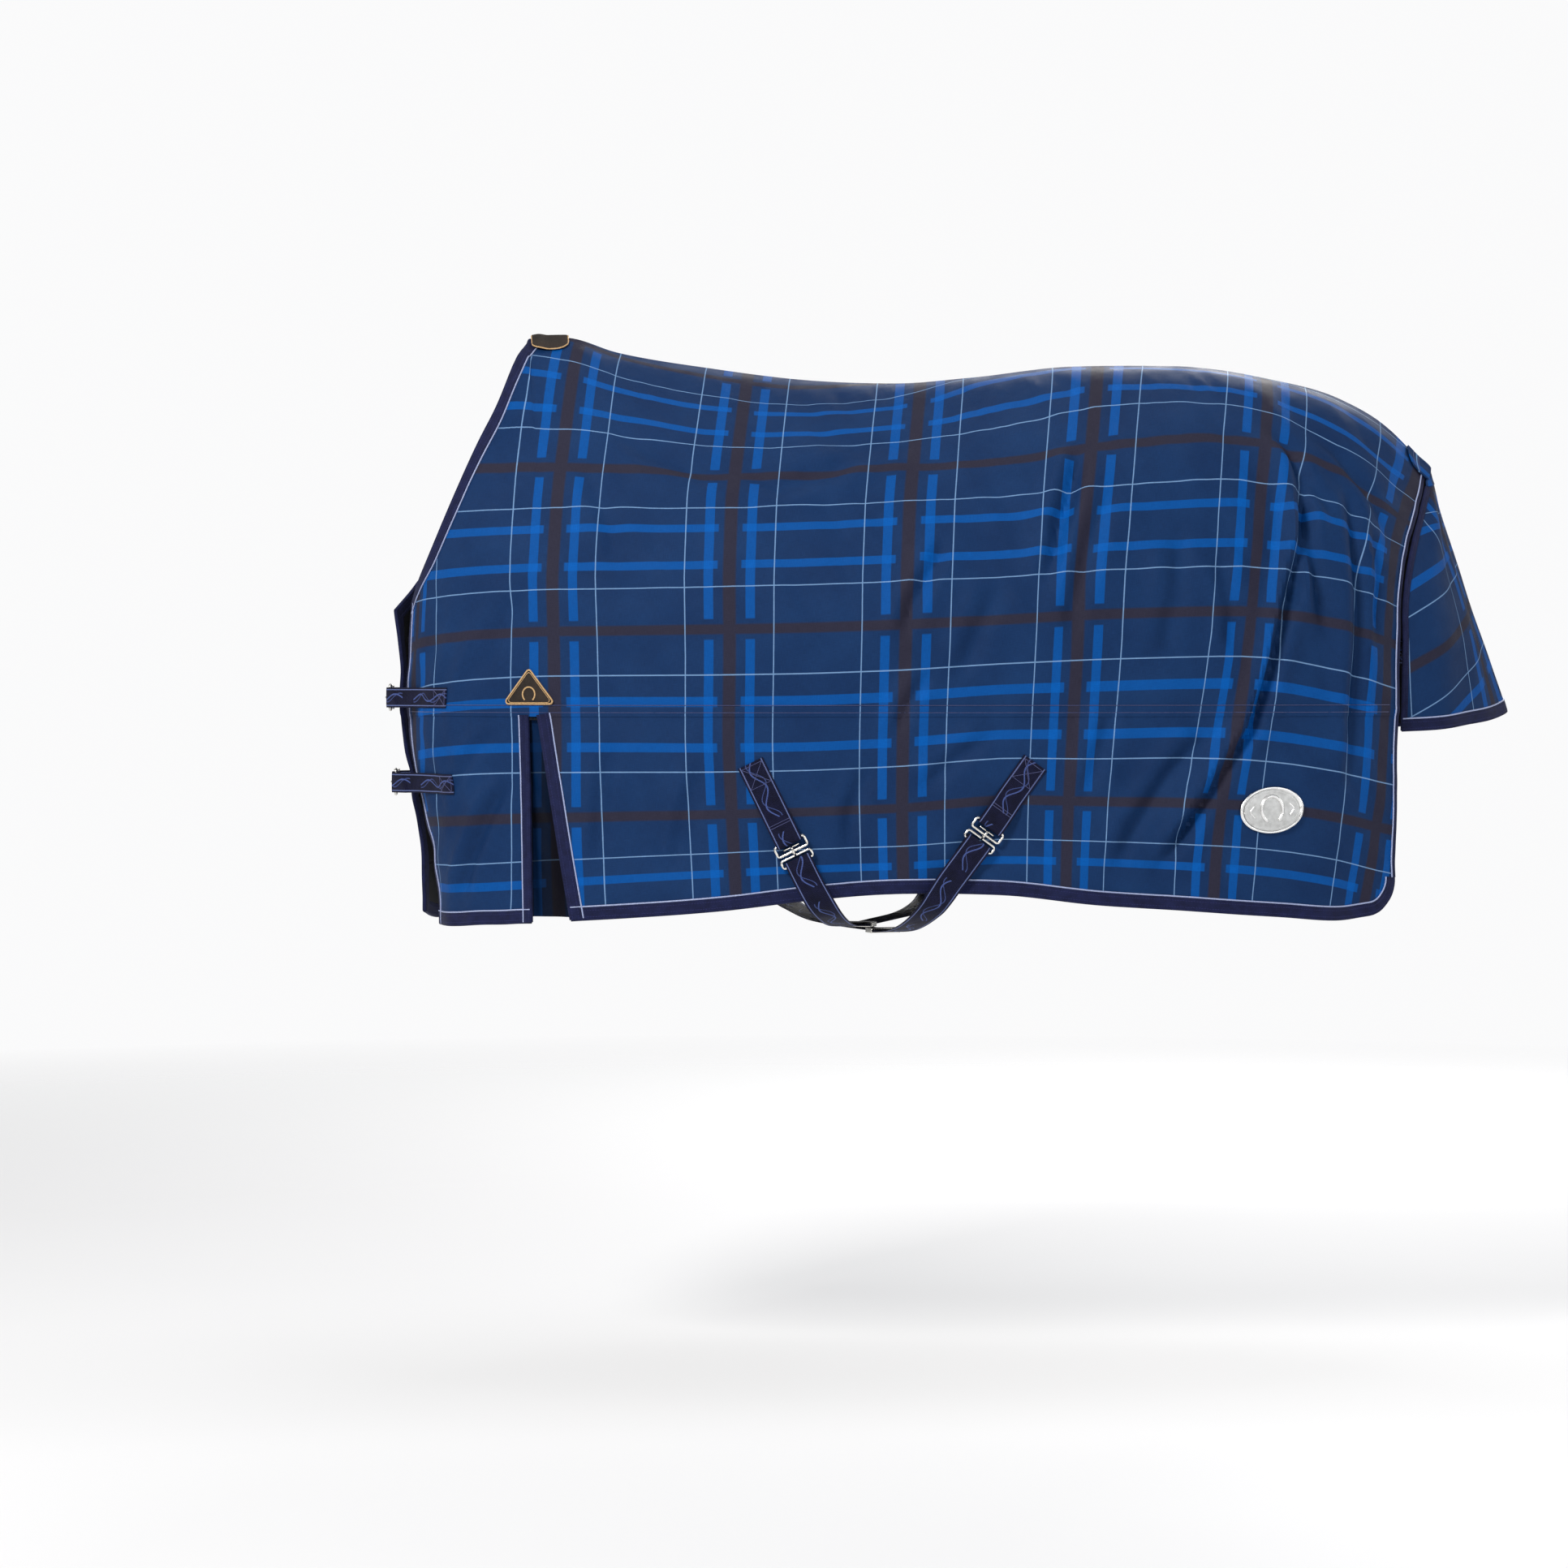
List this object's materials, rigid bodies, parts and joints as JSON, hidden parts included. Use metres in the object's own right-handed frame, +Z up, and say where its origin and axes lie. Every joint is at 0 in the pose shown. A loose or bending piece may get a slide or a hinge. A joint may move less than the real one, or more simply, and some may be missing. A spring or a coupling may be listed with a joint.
{
  "type": "horse turnout rug",
  "caption": "Horse rug in a check weave, drawn as worn, with chest closures, crossed belly surcingles, bound edges, shoulder gussets and a tail flap.",
  "frame": {"origin": "underside of the lining at the middle of the back, where the rug rests on the horse", "axes": "+X to the tail, +Y to the horse's right side, +Z up"},
  "size_m": [1.7114, 0.6687, 0.9116],
  "materials": {
    "shell_plaid": "matt coated polyester, woven check",
    "lining_nylon": "smooth nylon",
    "binding": "woven tape",
    "webbing": "woven webbing",
    "steel": "bright plated steel",
    "leather": "grained",
    "silver_badge": "satin plated"
  },
  "bodies": {
    "rug": {"back_lining": "lining_nylon", "back_panel": "shell_plaid", "belly_strap_front": "webbing", "belly_strap_rear": "webbing", "chest_hem_binding_left": "binding", "chest_hem_binding_right": "binding", "chest_lining_left": "lining_nylon", "chest_lining_right": "lining_nylon", "chest_panel_left": "shell_plaid", "chest_panel_right": "shell_plaid", "chest_strap_lower": "webbing", "chest_strap_upper": "webbing", "chest_tab_lower": "webbing", "chest_tab_upper": "webbing", "front_edge_binding_left": "binding", "front_edge_binding_right": "binding", "gusset_insert_left": "shell_plaid", "gusset_insert_right": "shell_plaid", "gusset_patch_left": "leather", "gusset_patch_right": "leather", "hem_binding_left": "binding", "hem_binding_right": "binding", "hip_badge": "silver_badge", "neck_binding": "binding", "rear_edge_binding_left": "binding", "rear_edge_binding_right": "binding", "side_lining_left": "lining_nylon", "side_lining_right": "lining_nylon", "side_panel_left": "shell_plaid", "side_panel_right": "shell_plaid", "slot_front_binding_left": "binding", "slot_front_binding_right": "binding", "slot_rear_binding_left": "binding", "slot_rear_binding_right": "binding", "surcingle_tab_front": "webbing", "surcingle_tab_rear": "webbing", "tail_strap": "webbing", "wither_patch": "leather"},
    "tail_flap_body": {"tail_flap": "shell_plaid", "tail_flap_lining": "lining_nylon", "tail_flap_binding": "binding"},
    "slot_plate_front_body": {"slot_plate_front": "steel"},
    "t_hook_front_body": {"t_hook_front": "steel"},
    "belly_slide_front_body": {"belly_slide_front": "steel"},
    "slot_plate_rear_body": {"slot_plate_rear": "steel"},
    "t_hook_rear_body": {"t_hook_rear": "steel"},
    "belly_slide_rear_body": {"belly_slide_rear": "steel"},
    "chest_slot_plate_upper_body": {"chest_slot_plate_upper": "steel"},
    "chest_t_hook_upper_body": {"chest_t_hook_upper": "steel"},
    "chest_slide_upper_body": {"chest_slide_upper": "steel"},
    "chest_slot_plate_lower_body": {"chest_slot_plate_lower": "steel"},
    "chest_t_hook_lower_body": {"chest_t_hook_lower": "steel"},
    "chest_slide_lower_body": {"chest_slide_lower": "steel"}
  },
  "joints": [
    {"name": "tail_flap_lift", "type": "hinge", "parent": "rug", "child": "tail_flap_body", "pos_m": [0.829, 0, -0.127], "axis": [0, -1, 0], "range_deg": [0, 45]},
    {"name": "slot_plate_front_swing", "type": "hinge", "parent": "rug", "child": "slot_plate_front_body", "pos_m": [-0.18059, -0.3201, -0.68293], "axis": [-0.8968, 0.0525, -0.4394], "range_deg": [-3, 3]},
    {"name": "t_hook_front_swing", "type": "hinge", "parent": "slot_plate_front_body", "child": "t_hook_front_body", "pos_m": [-0.17402, -0.3206, -0.69641], "axis": [-0.8968, 0.0525, -0.4394], "range_deg": [-3, 3]},
    {"name": "slot_plate_rear_swing", "type": "hinge", "parent": "rug", "child": "slot_plate_rear_body", "pos_m": [0.1115, -0.32734, -0.66097], "axis": [-0.811, 0.0017, 0.585], "range_deg": [-3, 3]},
    {"name": "t_hook_rear_swing", "type": "hinge", "parent": "slot_plate_rear_body", "child": "t_hook_rear_body", "pos_m": [0.10273, -0.32738, -0.67314], "axis": [-0.811, 0.0017, 0.585], "range_deg": [-3, 3]},
    {"name": "chest_slot_plate_upper_swing", "type": "hinge", "parent": "rug", "child": "chest_slot_plate_upper_body", "pos_m": [-0.76, -0.027, -0.476], "axis": [0, 0, 1], "range_deg": [-3, 3]},
    {"name": "chest_t_hook_upper_swing", "type": "hinge", "parent": "chest_slot_plate_upper_body", "child": "chest_t_hook_upper_body", "pos_m": [-0.76, -0.012, -0.476], "axis": [0, 0, 1], "range_deg": [-3, 3]},
    {"name": "chest_slot_plate_lower_swing", "type": "hinge", "parent": "rug", "child": "chest_slot_plate_lower_body", "pos_m": [-0.752, -0.027, -0.603], "axis": [0, 0, 1], "range_deg": [-3, 3]},
    {"name": "chest_t_hook_lower_swing", "type": "hinge", "parent": "chest_slot_plate_lower_body", "child": "chest_t_hook_lower_body", "pos_m": [-0.752, -0.012, -0.603], "axis": [0, 0, 1], "range_deg": [-3, 3]},
    {"name": "belly_slide_front_adjust", "type": "slide", "parent": "rug", "child": "belly_slide_front_body", "axis": [0.3172, 0.9483, -0.0095], "range_m": [-0.015, 0.015]},
    {"name": "belly_slide_rear_adjust", "type": "slide", "parent": "rug", "child": "belly_slide_rear_body", "axis": [-0.2516, 0.9678, -0.0071], "range_m": [-0.015, 0.015]},
    {"name": "chest_slide_upper_adjust", "type": "slide", "parent": "rug", "child": "chest_slide_upper_body", "axis": [0.0545, 0.9985, 0], "range_m": [-0.006, 0.006]},
    {"name": "chest_slide_lower_adjust", "type": "slide", "parent": "rug", "child": "chest_slide_lower_body", "axis": [0.0545, 0.9985, 0], "range_m": [-0.006, 0.006]}
  ]
}
